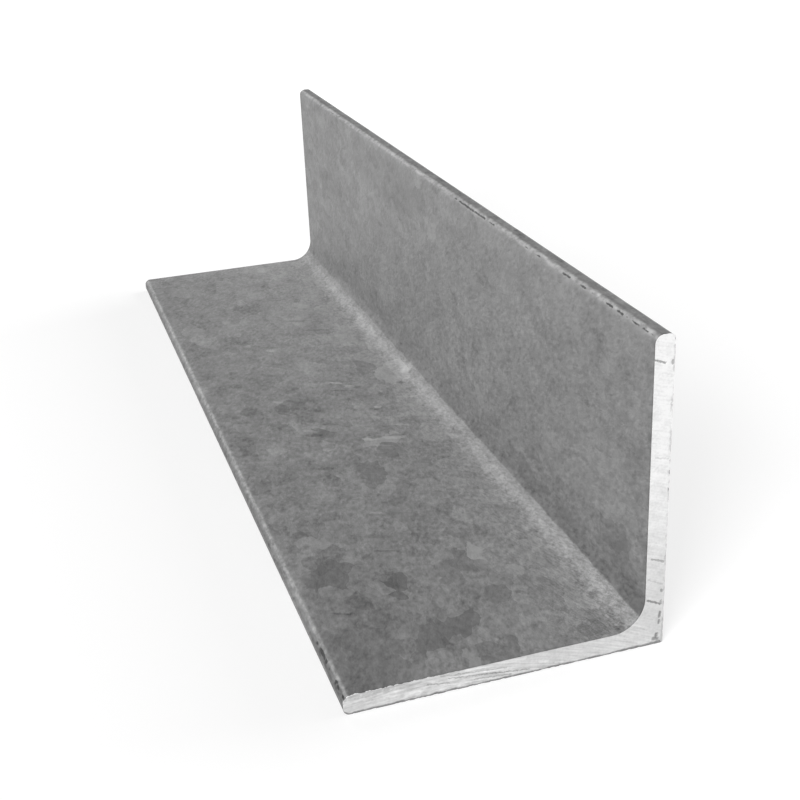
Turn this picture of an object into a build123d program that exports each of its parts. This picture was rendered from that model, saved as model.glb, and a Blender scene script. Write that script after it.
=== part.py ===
from build123d import *
import os

# Equal-leg steel angle, 3 in x 3 in x 3/16 in: one bar, hot rolled, galvanised and sawn to a foot.
#
# The base leg lies flat and the upright leg stands at its +X side, so the heel, the outer corner
# where they meet, is at +X. The bar runs along Y, +Z is up, and the origin is the middle of the
# underside. Lengths are in millimetres.

# The size that the bar is sold by
base_leg = 76.2  # 3 in, heel to toe, across the leg that lies flat
upright_leg = 76.2  # 3 in, heel to toe, up the leg that stands
thickness = 4.7625  # 3/16 in, of both legs, which the rolls leave alike
length = 304.8  # 12 in, between the two saw cuts

# The corners that the rolls leave along the bar
root_radius = 7.9375  # 5/16 in, the fillet between the legs' inner faces
toe_inner_radius = 2.0  # edge of each toe next to the leg's inner face
toe_outer_radius = 1.5  # edge of each toe next to the leg's outer face
heel_radius = 0.6  # the heel comes out almost sharp

# A toe's two rounded edges share the leg's thickness, so each takes less than half of it
widest_toe_rounding = 0.48 * thickness
toe_inner_rounding = min(toe_inner_radius, widest_toe_rounding)
toe_outer_rounding = min(toe_outer_radius, widest_toe_rounding)

# The sharp corners of the section before they are rounded: X across the bar and Y up it
heel_x = base_leg / 2
inner_x = heel_x - thickness  # inner face of the upright leg
toe_x = heel_x - base_leg
heel = (heel_x, 0)
top_outer = (heel_x, upright_leg)
top_inner = (inner_x, upright_leg)
root = (inner_x, thickness)
side_inner = (toe_x, thickness)
side_outer = (toe_x, 0)

rounding = {
    root: root_radius,
    top_inner: toe_inner_rounding,
    side_inner: toe_inner_rounding,
    top_outer: toe_outer_rounding,
    side_outer: toe_outer_rounding,
    heel: heel_radius,
}


with BuildPart() as angle_section:
    # The section, on the plane of the saw cut at -Y
    with BuildSketch(Plane.XZ.offset(length / 2)) as section:
        with BuildLine():
            Polyline(heel, top_outer, top_inner, root, side_inner, side_outer, close=True)
        make_face()
        for corner, radius in rounding.items():
            fillet(section.vertices().sort_by_distance(corner)[0], radius)

    # Plane.XZ faces -Y, so the bar grows the other way, to the saw cut at +Y
    extrude(amount=-length)


angle_section.part.label = "angle_section"

os.makedirs("parts", exist_ok=True)
export_step(angle_section.part, "parts/angle_section.step")
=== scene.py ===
import logging
import math
from dataclasses import asdict, dataclass
from enum import Enum
from functools import reduce
from typing import ClassVar

import bpy
from mathutils import Matrix, Vector


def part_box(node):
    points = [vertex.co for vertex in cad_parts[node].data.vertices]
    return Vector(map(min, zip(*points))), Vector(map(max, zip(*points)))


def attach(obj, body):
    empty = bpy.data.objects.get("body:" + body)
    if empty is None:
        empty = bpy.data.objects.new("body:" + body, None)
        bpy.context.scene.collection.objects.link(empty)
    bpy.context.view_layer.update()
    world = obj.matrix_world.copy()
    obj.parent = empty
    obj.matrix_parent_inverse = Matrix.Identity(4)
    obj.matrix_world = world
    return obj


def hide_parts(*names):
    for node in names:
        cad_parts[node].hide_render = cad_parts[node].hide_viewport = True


# Dresses a bar of hot-rolled, hot-dip galvanised steel angle, sawn to length.
#
# Everything is in metres, apart from the single marks on the zinc and on the cuts, which are listed
# in millimetres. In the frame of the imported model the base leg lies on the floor, the upright leg
# stands at +X, and the bar runs along Y between its two saw cuts.
#
# A size whose name ends in _span is a pair: where a smooth step is still 0, and where it reaches 1.
# One that ends in _shake is how far apart random swings are, and how far they reach.

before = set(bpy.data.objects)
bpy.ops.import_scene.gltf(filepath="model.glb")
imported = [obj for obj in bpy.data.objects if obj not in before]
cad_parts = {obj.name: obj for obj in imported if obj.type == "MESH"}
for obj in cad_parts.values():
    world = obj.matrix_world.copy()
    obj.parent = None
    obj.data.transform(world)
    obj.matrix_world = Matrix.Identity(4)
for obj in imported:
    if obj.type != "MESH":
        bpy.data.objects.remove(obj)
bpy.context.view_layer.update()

MM = 0.001  # a millimetre in metres
QUARTER_TURN = math.pi / 2
WAVE_GAIN = 2.6  # brings the peaks of the curve x - x^3 to 1

BAR_NODE = "angle_section"
BAR_BODY = "root"

log = logging.getLogger(BAR_NODE)

Number = "Field | float | int"
Pair = tuple[float, float]
Triple = tuple[float, float, float]


# ---------------------------------------------------------------------------------------------
# Writing node trees
# ---------------------------------------------------------------------------------------------


class Field:
    """A number that a node tree works out point by point, written as part of a sum."""

    def __init__(self, writer: "TreeWriter", socket: bpy.types.NodeSocket) -> None:
        """Holds one output of one node.

        Args:
            writer: The tree that the node is in.
            socket: The output that carries the number.
        """
        self.writer = writer
        self.socket = socket

    def __add__(self, other: Number) -> "Field":
        """Returns the sum."""
        return self.writer.math("ADD", self, other)

    def __sub__(self, other: Number) -> "Field":
        """Returns the difference."""
        return self.writer.math("SUBTRACT", self, other)

    def __rsub__(self, other: Number) -> "Field":
        """Returns the difference, this number taken from a plain one."""
        return self.writer.math("SUBTRACT", other, self)

    def __mul__(self, other: Number) -> "Field":
        """Returns the product."""
        return self.writer.math("MULTIPLY", self, other)

    def __truediv__(self, other: Number) -> "Field":
        """Returns the quotient."""
        return self.writer.math("DIVIDE", self, other)

    def __pow__(self, other: Number) -> "Field":
        """Returns the power."""
        return self.writer.math("POWER", self, other)

    def __neg__(self) -> "Field":
        """Returns the number with its sign turned."""
        return self.writer.math("SUBTRACT", 0.0, self)

    def __abs__(self) -> "Field":
        """Returns the size without its sign."""
        return self.writer.math("ABSOLUTE", self)

    __radd__ = __add__
    __rmul__ = __mul__

    def sine(self) -> "Field":
        """Returns the sine of an angle in radians."""
        return self.writer.math("SINE", self)

    def cosine(self) -> "Field":
        """Returns the cosine of an angle in radians."""
        return self.writer.math("COSINE", self)

    def rounded(self) -> "Field":
        """Returns the nearest whole number."""
        return self.writer.math("ROUND", self)

    def sign(self) -> "Field":
        """Returns -1, 0 or 1."""
        return self.writer.math("SIGN", self)

    def share(self) -> "Field":
        """Returns the number held between 0 and 1."""
        return self.writer.math("ADD", self, 0.0, clamp=True)

    def at_least(self, floor: Number) -> "Field":
        """Returns the larger of the two."""
        return self.writer.math("MAXIMUM", self, floor)

    def at_most(self, ceiling: Number) -> "Field":
        """Returns the smaller of the two."""
        return self.writer.math("MINIMUM", self, ceiling)

    def under(self, edge: Number) -> "Field":
        """Returns 1 below the edge and 0 above it."""
        return self.writer.math("LESS_THAN", self, edge)

    def over(self, edge: Number) -> "Field":
        """Returns 1 above the edge and 0 below it."""
        return self.writer.math("GREATER_THAN", self, edge)

    def rise(self, low: float, high: float) -> "Field":
        """Makes a smooth step.

        Args:
            low: Where the step is still 0.
            high: Where it reaches 1, which may be less than low.

        Returns:
            The step, 0 before it and 1 past it.
        """
        node = self.writer.add(
            "ShaderNodeMapRange",
            {"Value": self, "From Min": low, "From Max": high},
            interpolation_type="SMOOTHSTEP",
        )
        return Field(self.writer, node.outputs["Result"])

    def from_least(self, least: float) -> "Field":
        """Returns a share raised so that it runs from its least value to 1."""
        return self * (1.0 - least) + least

    def towards(self, other: Number, share: Number) -> "Field":
        """Returns this number moved towards another one by a share of the way."""
        return self + (other - self) * share


class TreeWriter:
    """Writes the nodes and links of one tree, so that a recipe reads like the sum it stands for."""

    def __init__(self, tree: bpy.types.NodeTree) -> None:
        """Starts on a tree.

        Args:
            tree: The geometry or shader tree to write into.
        """
        self.tree = tree

    def add(self, kind: str, inputs: dict[str | int, object], **settings: object) -> bpy.types.Node:
        """Adds one node.

        Args:
            kind: The node's class name in Blender.
            inputs: What goes into each socket, by its name or index: a number, a socket or a Field.
            settings: The node's own options.

        Returns:
            The new node.
        """
        node = self.tree.nodes.new(kind)
        for name, value in settings.items():
            setattr(node, name, value)
        for name, value in inputs.items():
            self.feed(self.socket(node, name), value)
        return node

    @staticmethod
    def socket(node: bpy.types.Node, name: str | int) -> bpy.types.NodeSocket:
        """Finds an input that is in use.

        Args:
            node: The node that has the input.
            name: The input's name, or its index among all of the node's inputs.

        Returns:
            The input.
        """
        if isinstance(name, int):
            return node.inputs[name]
        return next(s for s in node.inputs if s.name == name and s.enabled)

    def feed(self, socket: bpy.types.NodeSocket, value: object) -> None:
        """Links or sets one input.

        Args:
            socket: The input.
            value: A Field or an output to link, or a plain value to set.
        """
        if isinstance(value, Field):
            self.tree.links.new(value.socket, socket)
        elif isinstance(value, bpy.types.NodeSocket):
            self.tree.links.new(value, socket)
        else:
            socket.default_value = value

    def math(self, operation: str, *values: Number, clamp: bool = False) -> Field:
        """Adds a sum of one or two numbers.

        Args:
            operation: What the Math node does.
            values: The numbers, in order.
            clamp: Whether the result is held between 0 and 1.

        Returns:
            The result.
        """
        node = self.add("ShaderNodeMath", dict(enumerate(values)), operation=operation, use_clamp=clamp)
        return Field(self, node.outputs["Value"])

    def vector(self, operation: str, *values: object) -> bpy.types.NodeSocket:
        """Adds a sum of vectors whose result is a vector.

        Args:
            operation: What the Vector Math node does, such as ADD.
            values: The vectors, in order.

        Returns:
            The result.
        """
        node = self.add("ShaderNodeVectorMath", dict(enumerate(values)), operation=operation)
        return node.outputs["Vector"]

    def measure(self, operation: str, *values: object) -> Field:
        """Adds a sum of vectors whose result is a number.

        Args:
            operation: What the Vector Math node does, such as LENGTH.
            values: The vectors, in order.

        Returns:
            The result.
        """
        node = self.add("ShaderNodeVectorMath", dict(enumerate(values)), operation=operation)
        return Field(self, node.outputs["Value"])

    def scaled(self, vector: object, factor: Number) -> bpy.types.NodeSocket:
        """Returns a vector made longer or shorter by a factor."""
        node = self.add("ShaderNodeVectorMath", {0: vector, "Scale": factor}, operation="SCALE")
        return node.outputs["Vector"]

    def split(self, vector: bpy.types.NodeSocket) -> tuple[Field, Field, Field]:
        """Returns the three parts of a vector."""
        node = self.add("ShaderNodeSeparateXYZ", {"Vector": vector})
        return tuple(Field(self, node.outputs[axis]) for axis in "XYZ")

    def point(self, x: Number, y: Number, z: Number = 0.0) -> bpy.types.NodeSocket:
        """Returns a vector made of its parts."""
        return self.add("ShaderNodeCombineXYZ", {"X": x, "Y": y, "Z": z}).outputs["Vector"]

    def shaken(self, at: bpy.types.NodeSocket, size: float, reach: float) -> bpy.types.NodeSocket:
        """Moves points about at random, so that a pattern read there gets ragged edges.

        Args:
            at: The points.
            size: How far apart the swings are, in metres.
            reach: How far a point may move, in metres.

        Returns:
            The moved points.
        """
        noise = self.add("ShaderNodeTexNoise", {"Vector": at, "Scale": 1.0 / size, "Detail": 2.0})
        centred = self.vector("SUBTRACT", noise.outputs["Color"], (0.5, 0.5, 0.5))
        return self.vector("ADD", at, self.scaled(centred, 2.0 * reach))

    def noise(self, at: bpy.types.NodeSocket, size: float = 1.0, detail: float = 2.0) -> Field:
        """Adds a cloudy pattern.

        Args:
            at: The points to read it at.
            size: The size of its clouds, in the units of the points.
            detail: How many finer layers it has.

        Returns:
            A number from about 0.2 to 0.8, with a mean of one half.
        """
        node = self.add("ShaderNodeTexNoise", {"Vector": at, "Scale": 1.0 / size, "Detail": detail})
        return Field(self, node.outputs["Fac"])

    def swing(self, at: bpy.types.NodeSocket, size: float = 1.0, detail: float = 2.0) -> Field:
        """Returns the cloudy pattern less its mean, so that it swings about 0."""
        return self.noise(at, size, detail) - 0.5

    def cells(
        self, at: bpy.types.NodeSocket, size: float
    ) -> tuple[Field, Field, bpy.types.NodeSocket, Field]:
        """Adds a pattern of cells that each have their own random numbers.

        Args:
            at: The points to read it at.
            size: The size of a cell, in metres.

        Returns:
            Two even random numbers for each cell, the cell's middle, and the distance to its edge as a
            share of its size.
        """
        inputs = {"Vector": at, "Scale": 1.0 / size}
        cell = self.add("ShaderNodeTexVoronoi", inputs)
        edge = self.add("ShaderNodeTexVoronoi", inputs, feature="DISTANCE_TO_EDGE")
        first, second, _ = self.split(cell.outputs["Color"])
        return first, second, cell.outputs["Position"], Field(self, edge.outputs["Distance"])

    def from_oval(self, at: bpy.types.NodeSocket, middle: Triple, sizes: Triple) -> Field:
        """Measures how far points are from the middle of an oval.

        Args:
            at: The points.
            middle: The oval's middle.
            sizes: Its size along each axis, or 0 along an axis that doesn't count.

        Returns:
            The distance, which is 0 in the middle and 1 on the rim.
        """
        scale = tuple(2.0 / size if size else 0.0 for size in sizes)
        offset = self.vector("SUBTRACT", at, middle)
        return self.measure("LENGTH", self.vector("MULTIPLY", offset, scale))


class GeometryRecipe(TreeWriter):
    """A Geometry Nodes group with named inputs and one mesh as its result."""

    FLOAT = "NodeSocketFloat"
    COUNT = "NodeSocketInt"
    MATERIAL = "NodeSocketMaterial"

    def __init__(self, name: str) -> None:
        """Starts an empty group.

        Args:
            name: What the group is called.
        """
        super().__init__(bpy.data.node_groups.new(name, "GeometryNodeTree"))
        self.identifiers: dict[str, str] = {}
        self.entry = self.tree.nodes.new("NodeGroupInput")

    def input(self, name: str, kind: str = FLOAT) -> Field:
        """Adds a named input.

        Args:
            name: The input's name.
            kind: The class of its socket.

        Returns:
            The input, ready to be used in a sum or linked.
        """
        item = self.tree.interface.new_socket(name, in_out="INPUT", socket_type=kind)
        self.identifiers[name] = item.identifier
        return Field(self, self.entry.outputs[name])

    def finish(self, geometry: bpy.types.NodeSocket) -> None:
        """Makes a geometry the group's result.

        Args:
            geometry: The geometry.
        """
        self.tree.interface.new_socket("Geometry", in_out="OUTPUT", socket_type="NodeSocketGeometry")
        leave = self.tree.nodes.new("NodeGroupOutput")
        self.tree.links.new(geometry, leave.inputs["Geometry"])

    def attribute(self, name: str, kind: str = "FLOAT_VECTOR") -> bpy.types.NodeSocket:
        """Returns a value that was stored on the mesh under a name."""
        node = self.add("GeometryNodeInputNamedAttribute", {"Name": name}, data_type=kind)
        return node.outputs["Attribute"]

    def then(
        self, kind: str, before: bpy.types.Node, inputs: dict[str, object], **settings: object
    ) -> bpy.types.Node:
        """Returns a new node that takes the geometry of the one before it."""
        return self.add(kind, {"Geometry": before.outputs["Geometry"], **inputs}, **settings)

    def store(
        self, geometry: bpy.types.NodeSocket, name: str, value: object, kind: str, domain: str
    ) -> bpy.types.NodeSocket:
        """Stores a value on the mesh.

        Args:
            geometry: The mesh.
            name: The attribute's name.
            value: What is stored.
            kind: The attribute's data type.
            domain: What carries it, POINT or FACE.

        Returns:
            The mesh with the attribute.
        """
        node = self.add(
            "GeometryNodeStoreNamedAttribute",
            {"Geometry": geometry, "Name": name, "Value": value},
            data_type=kind,
            domain=domain,
        )
        return node.outputs["Geometry"]


# ---------------------------------------------------------------------------------------------
# The bar's sizes, and places on its surface
# ---------------------------------------------------------------------------------------------


@dataclass(frozen=True)
class AngleSection:
    """The size of the bar: its two legs and length from the model, its corners as they are rolled.

    In the recipe of a stretch, the same sizes are inputs of the tree.
    """

    base_leg: Number
    upright_leg: Number
    length: Number
    heel_x: Number
    thickness: Number = 4.7625 * MM
    root_radius: Number = 7.9375 * MM
    toe_inner_radius: Number = 2.0 * MM
    toe_outer_radius: Number = 1.5 * MM
    heel_radius: Number = 0.6 * MM

    @classmethod
    def from_model(cls, node: str) -> "AngleSection":
        """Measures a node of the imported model.

        Args:
            node: The node's name.

        Returns:
            The section, with that node's legs and length.
        """
        low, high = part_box(node)
        size = high - low
        return cls(base_leg=size.x, upright_leg=size.z, length=size.y, heel_x=high.x)

    @property
    def half_root_arc(self) -> Number:
        """How far the fillet's surface runs on each side of its middle line."""
        return self.root_radius * QUARTER_TURN / 2

    @property
    def flat_run(self) -> Number:
        """The flat of the base leg's inner face, between the fillet and the toe's rounding."""
        return self.base_leg - self.thickness - self.root_radius - self.toe_inner_radius

    @property
    def toe_start(self) -> Number:
        """Where the toe's rounded inner edge starts, measured over the skin from the root."""
        return self.half_root_arc + self.flat_run

    @property
    def toe_middle(self) -> Number:
        """Where the middle of the toe's rounded inner edge is, measured over the skin from the root."""
        return self.toe_start + self.toe_inner_radius * QUARTER_TURN / 2


class Leg(Enum):
    """The two legs, by the sign of the distance over the skin from the root."""

    BASE = -1.0
    UPRIGHT = 1.0


class SkinPoint:
    """A point of the bar's surface, as the node trees of its mesh and of its finishes read it."""

    def __init__(
        self,
        writer: TreeWriter,
        section: AngleSection,
        place: bpy.types.NodeSocket,
        skin: bpy.types.NodeSocket,
    ) -> None:
        """Splits the point's coordinates and works out what the patterns need.

        Args:
            writer: The tree that reads the point.
            section: The bar's sizes.
            place: The point in the bar's own coordinates.
            skin: The point unrolled: over the legs from the root, along the bar, through the steel.
        """
        self.writer = writer
        self.section = section
        self.place = place
        self.x, self.y, self.z = writer.split(place)
        self.over, self.along, self.through = writer.split(skin)
        self.off_root = abs(self.over)
        self.upright = self.over.over(0.0)
        self.layer = self.through / section.thickness
        self.from_near = self.along + section.length / 2
        self.from_cut = section.length / 2 - abs(self.along)
        self.from_outer = section.heel_x - self.x

    def drawn_out(self, factor: float) -> bpy.types.NodeSocket:
        """Returns the place squeezed along the bar, so that a pattern read there is drawn out."""
        return self.writer.point(self.x, self.y / factor, self.z)

    def run_off(self, way: Triple, factor: float) -> bpy.types.NodeSocket:
        """Squeezes the place along a slant, so that a pattern read there is drawn out along it.

        Args:
            way: The slant, a direction of length 1.
            factor: How much the pattern is drawn out.

        Returns:
            The squeezed place.
        """
        back = self.writer.measure("DOT_PRODUCT", self.place, way) * (1.0 / factor - 1.0)
        return self.writer.vector("ADD", self.place, self.writer.scaled(way, back))

    def on_leg(self, leg: Leg) -> Field:
        """Returns 1 on one of the legs and 0 on the other."""
        return self.upright if leg is Leg.UPRIGHT else 1.0 - self.upright


# ---------------------------------------------------------------------------------------------
# Finishes
# ---------------------------------------------------------------------------------------------


class Finish(TreeWriter):
    """A material with one principled shader, whose colour, gloss and relief come from nodes."""

    def __init__(self, name: str, metallic: float) -> None:
        """Starts a material.

        Args:
            name: The material's name.
            metallic: How much of its light is a metal's.
        """
        self.material = bpy.data.materials.new(name)
        self.material.use_nodes = True
        super().__init__(self.material.node_tree)
        self.shader = next(n for n in self.tree.nodes if n.type == "BSDF_PRINCIPLED")
        self.shader.inputs["Metallic"].default_value = metallic

    def point_on(self, section: AngleSection) -> SkinPoint:
        """Returns the point that is being shaded.

        Args:
            section: The bar's sizes.

        Returns:
            The point, by its place in the bar and by its place on the skin.
        """
        place = self.add("ShaderNodeTexCoord", {}).outputs["Object"]
        skin = self.add("ShaderNodeAttribute", {}, attribute_name="skin")
        return SkinPoint(self, section, place, skin.outputs["Vector"])

    def dress(self, grey: Field, roughness: Field, height: Field, depth: float) -> None:
        """Wires the shader.

        Args:
            grey: The lightness of the surface, the same for red, green and blue.
            roughness: How blurred its reflections are.
            height: The fine relief, from 0 to about 1.
            depth: What a height of 1 stands for, in metres.
        """
        held = grey.share()
        colour = self.add("ShaderNodeCombineColor", {"Red": held, "Green": held, "Blue": held})
        self.feed(self.shader.inputs["Base Color"], colour.outputs["Color"])
        self.feed(self.shader.inputs["Roughness"], roughness.share())
        bump = self.add("ShaderNodeBump", {"Height": height, "Distance": depth})
        self.feed(self.shader.inputs["Normal"], bump.outputs["Normal"])


@dataclass(frozen=True)
class SawStroke:
    """A straight mark on a cut: a deep score, a pit, or a place that the blade has rubbed smooth.

    Its sizes are in millimetres. Its start and its end are each a distance in from the upright
    leg's outer face and a height over the floor.
    """

    start: Pair
    end: Pair
    width: float
    strength: float

    CORE: ClassVar[float] = 0.25  # the share of its width that is at full strength

    def draw(self, writer: TreeWriter, at: bpy.types.NodeSocket) -> Field:
        """Draws the stroke.

        Args:
            writer: The tree to write into.
            at: The point, as a vector of the distance in and the height.

        Returns:
            The stroke's strength along its middle, falling to 0 at its edge.
        """
        start, end = (Vector((*point, 0.0)) * MM for point in (self.start, self.end))
        run = end - start
        offset = writer.vector("SUBTRACT", at, start)
        share = writer.measure("DOT_PRODUCT", offset, run / run.length_squared).share()
        gap = writer.measure("DISTANCE", offset, writer.scaled(run, share))
        edge = self.width * MM / 2
        return gap.rise(edge, edge * self.CORE) * self.strength


@dataclass(frozen=True)
class SawnSteel:
    """Bare steel as the saw leaves it: bright, with fine scores along the blade's path."""

    lightness: float = 0.96
    metallic: float = 0.35
    roughness: float = 0.42
    gloss_spread: float = 0.3
    relief: float = 0.05 * MM
    # painted shade: the cut is made darker towards the floor, where less light falls
    foot_shade: float = 0.25
    foot_span: Pair = (0.68, 0.05)
    cloud: float = 2.5 * MM
    cloud_contrast: float = 0.35
    speck: float = 0.6 * MM
    speck_contrast: float = 0.30

    blade_middle: Pair = (59 * MM, -113 * MM)
    path_slant: float = 0.4
    score_length: float = 8 * MM
    score_pitch: float = 0.55 * MM
    score_offset: float = 3.0
    upright_score_contrast: float = 0.34
    base_score_contrast: float = 0.80
    torn_score_contrast: float = 0.50
    torn_start_span: Pair = (33 * MM, 42 * MM)
    torn_end_span: Pair = (70 * MM, 56 * MM)

    # painted light and shade of the torn cut's swells and dips
    lump_length: float = 2.2 * MM
    lump_pitch: float = 0.9 * MM
    lump_offset: float = 7.0
    lump_contrast: float = 0.55
    lump_span: Pair = (40 * MM, 50 * MM)
    low_lump_height_span: Pair = (2.4 * MM, 0.8 * MM)
    low_lump_end_span: Pair = (62 * MM, 56 * MM)

    tear_length: float = 1.5 * MM
    tear_span: Pair = (0.40, 0.75)
    # painted shadow cast by the raised lip on the base leg's cut
    burr_dark: float = 0.25
    burr_depth_span: Pair = (1.5 * MM, 1.2 * MM)
    burr_swing: float = 2.4 * MM
    burr_out_span: Pair = (44 * MM, 62 * MM)
    burr_speck_span: Pair = (0.3, 0.6)

    # the dark outer rim: partly the crumbled edge, partly painted shadow along the saw's exit edge
    rim_dark: float = 0.65
    rim_span: Pair = (0.65 * MM, 0.26 * MM)
    rim_lump: float = 1.8 * MM
    rim_swing: float = 0.9 * MM
    upright_rim: float = 0.35
    upright_rim_gap: float = 2.4 * MM
    upright_rim_span: Pair = (0.50, 0.62)

    far_shift: float = 31 * MM
    stroke_dark: float = 0.6
    stroke_shake: Pair = (0.7 * MM, 0.35 * MM)
    strokes: tuple[SawStroke, ...] = (
        SawStroke((4.7, 70.7), (2.2, 69.8), 0.7, 1.0),
        SawStroke((0.5, 69.2), (0.5, 70.1), 0.9, 0.8),
        SawStroke((0.4, 58.2), (0.4, 60.3), 0.5, 0.4),
        SawStroke((3.6, 47.9), (0.6, 47.1), 0.6, 0.35),
        SawStroke((3.6, 22.7), (0.6, 21.5), 0.7, 0.75),
        SawStroke((4.2, 17.5), (0.6, 15.6), 0.5, 0.3),
        SawStroke((4.1, 12.1), (0.9, 10.4), 0.75, 1.0),
        SawStroke((0.8, 11.4), (0.8, 10.5), 0.8, 0.6),
        SawStroke((0.8, 14.2), (0.7, 13.7), 0.9, 0.8),
        SawStroke((0.9, 8.3), (1.0, 7.1), 0.9, 1.0),
        SawStroke((1.1, 6.1), (1.1, 5.4), 0.9, 0.9),
        SawStroke((1.6, 2.7), (1.7, 1.5), 1.1, 1.0),
        SawStroke((2.3, 1.3), (1.4, 1.3), 1.6, 0.85),
        SawStroke((52.0, 3.3), (44.0, 2.3), 0.5, 0.60),
        SawStroke((44.5, 2.4), (33.0, 1.0), 0.5, 0.75),
        SawStroke((54.0, 4.3), (38.5, 2.8), 0.45, 0.55),
        SawStroke((46.0, 1.6), (37.5, 0.8), 0.5, 0.60),
        SawStroke((57.0, 3.0), (52.0, 2.2), 0.5, 0.55),
        SawStroke((74.0, 2.6), (69.5, 2.4), 0.50, 0.25),
    )
    rubbed_pale: float = 0.21
    rubbed_shake: Pair = (0.9 * MM, 0.4 * MM)
    rubbed: tuple[SawStroke, ...] = (
        SawStroke((62.0, 1.8), (59.0, 1.7), 2.0, 1.0),
        SawStroke((67.0, 2.2), (64.5, 2.2), 0.9, 0.5),
        SawStroke((58.0, 4.2), (55.5, 3.6), 0.9, 0.8),
        SawStroke((54.0, 2.0), (47.0, 1.2), 0.8, 0.9),
        SawStroke((49.0, 3.6), (37.5, 2.3), 0.8, 0.6),
        SawStroke((48.0, 4.5), (34.0, 4.1), 1.2, 0.8),
        SawStroke((30.5, 2.4), (28.5, 2.0), 1.0, 0.9),
        SawStroke((26.8, 1.2), (24.8, 1.0), 0.8, 0.8),
    )

    def scores(self, at: SkinPoint) -> Field:
        """Draws the blade's fine scores, arcs about the middle of the blade.

        Args:
            at: The point of the cut.

        Returns:
            A cloudy number about one half, drawn out along the blade's path.
        """
        writer = at.writer
        radius = writer.measure("DISTANCE", writer.point(at.from_outer, at.z), (*self.blade_middle, 0.0))
        path = at.from_outer + at.z * self.path_slant
        offset = at.along.sign() * self.score_offset
        drawn = writer.point(path / self.score_length, radius / self.score_pitch, offset)
        return writer.noise(drawn, detail=4.0)

    def lumps(self, at: SkinPoint) -> Field:
        """Paints light and shade of swells and dips on the torn, outer half of the base leg's cut, most
        along its foot.

        Args:
            at: The point of the cut.

        Returns:
            A number about 0, and 0 itself on the rest of the cut.
        """
        offset = at.along.sign() * self.lump_offset
        drawn = at.writer.point(at.from_outer / self.lump_length, at.z / self.lump_pitch, offset)
        low = at.z.rise(*self.low_lump_height_span) * at.from_outer.rise(*self.low_lump_end_span)
        outer_half = at.from_outer.rise(*self.lump_span) * at.on_leg(Leg.BASE)
        return at.writer.swing(drawn, detail=3.0) * (low + 1.0) * outer_half

    def tears(self, at: SkinPoint) -> Field:
        """Returns how far the saw has torn the rim of its cut, from 0 to 1 as it goes over the legs."""
        drawn = at.writer.point(at.over / self.tear_length, at.along.sign())
        return at.writer.noise(drawn, detail=4.0).rise(*self.tear_span)

    @staticmethod
    def drawn(at: SkinPoint, strokes: tuple[SawStroke, ...], height: Field, shake: Pair) -> Field:
        """Draws strokes with ragged edges.

        Args:
            at: The point of the cut.
            strokes: The strokes.
            height: The point's height over the floor, as the strokes are to read it.
            shake: How far apart the swings of the edges are, and how far they reach.

        Returns:
            The strength of the strongest stroke at the point, from 0 to 1.
        """
        flat = at.writer.shaken(at.writer.point(at.from_outer, height), *shake)
        return reduce(Field.at_least, (stroke.draw(at.writer, flat) for stroke in strokes))

    def deep_marks(self, at: SkinPoint) -> Field:
        """Returns the strength of the deep scores and pits, whose places differ on the two cuts."""
        height = at.z + at.along.over(0.0) * self.far_shift
        return self.drawn(at, self.strokes, height, self.stroke_shake)

    def polish(self, at: SkinPoint) -> Field:
        """Returns how much brighter the cut is where the blade has rubbed it smooth."""
        return self.drawn(at, self.rubbed, at.z, self.rubbed_shake) * self.rubbed_pale

    def outer_rim(self, at: SkinPoint) -> Field:
        """Draws the crumbled rim, darkened partly by painted shade: a full line under the base leg, broken
        up the upright leg.

        Args:
            at: The point of the cut.

        Returns:
            How dark the rim is.
        """
        ragged = at.writer.swing(at.place, self.rim_lump, detail=3.0) * self.rim_swing
        line = (at.through + ragged).rise(*self.rim_span)
        broken = at.writer.noise(at.place, self.upright_rim_gap).rise(*self.upright_rim_span)
        return line * (1.0 - at.upright * (1.0 - broken * self.upright_rim)) * self.rim_dark

    def burr(self, at: SkinPoint, cloud: Field, speck: Field) -> Field:
        """Paints the shadow that the burr casts on the cut, along the inner edge of the base leg's outer
        part.

        Args:
            at: The point of the cut.
            cloud: The cut's clouds, about 0.
            speck: The cut's specks, about one half.

        Returns:
            How dark the painted shadow is there.
        """
        depth = at.section.thickness - at.through + cloud * self.burr_swing
        inner_edge = depth.rise(*self.burr_depth_span) * (-at.over).rise(*self.burr_out_span)
        return inner_edge * speck.rise(*self.burr_speck_span) * self.burr_dark

    def material(self, section: AngleSection) -> bpy.types.Material:
        """Builds the finish.

        Args:
            section: The bar's sizes.

        Returns:
            The material.
        """
        finish = Finish("sawn_steel", self.metallic)
        at = finish.point_on(section)
        scores = self.scores(at)
        torn = at.from_outer.rise(*self.torn_start_span) * at.from_outer.rise(*self.torn_end_span)
        base_contrast = torn * self.torn_score_contrast + self.base_score_contrast
        score_contrast = base_contrast.towards(self.upright_score_contrast, at.upright)
        cloud = finish.swing(at.place, self.cloud)
        speck = finish.noise(at.place, self.speck)
        tone = (
            (scores - 0.5) * score_contrast
            + self.lumps(at) * self.lump_contrast
            + cloud * self.cloud_contrast
            + (speck - 0.5) * self.speck_contrast
            + self.polish(at)
            + 1.0
        )
        # Painted shade, darker towards the floor
        foot = (at.z / section.upright_leg).rise(*self.foot_span) * self.foot_shade
        # The rim's dark line is part crumbled edge, part painted shade; the burr term below is a painted
        # shadow
        marked = (1.0 - self.deep_marks(at) * self.stroke_dark) * (1.0 - self.outer_rim(at))
        grey = tone * (1.0 - foot) * marked * (1.0 - self.burr(at, cloud, speck)) * self.lightness
        roughness = (scores - 0.5) * self.gloss_spread + self.roughness
        finish.dress(grey, roughness, scores, self.relief)
        return finish.material


@dataclass(frozen=True)
class SkinMark:
    """An oval place on a leg's inner face that shows paler or darker than the skin round it.

    Its sizes are in millimetres. It lies as far along from the near cut and as far out from the
    heel as the first two say.
    """

    along: float
    out: float
    length: float
    width: float
    tone: float


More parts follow.
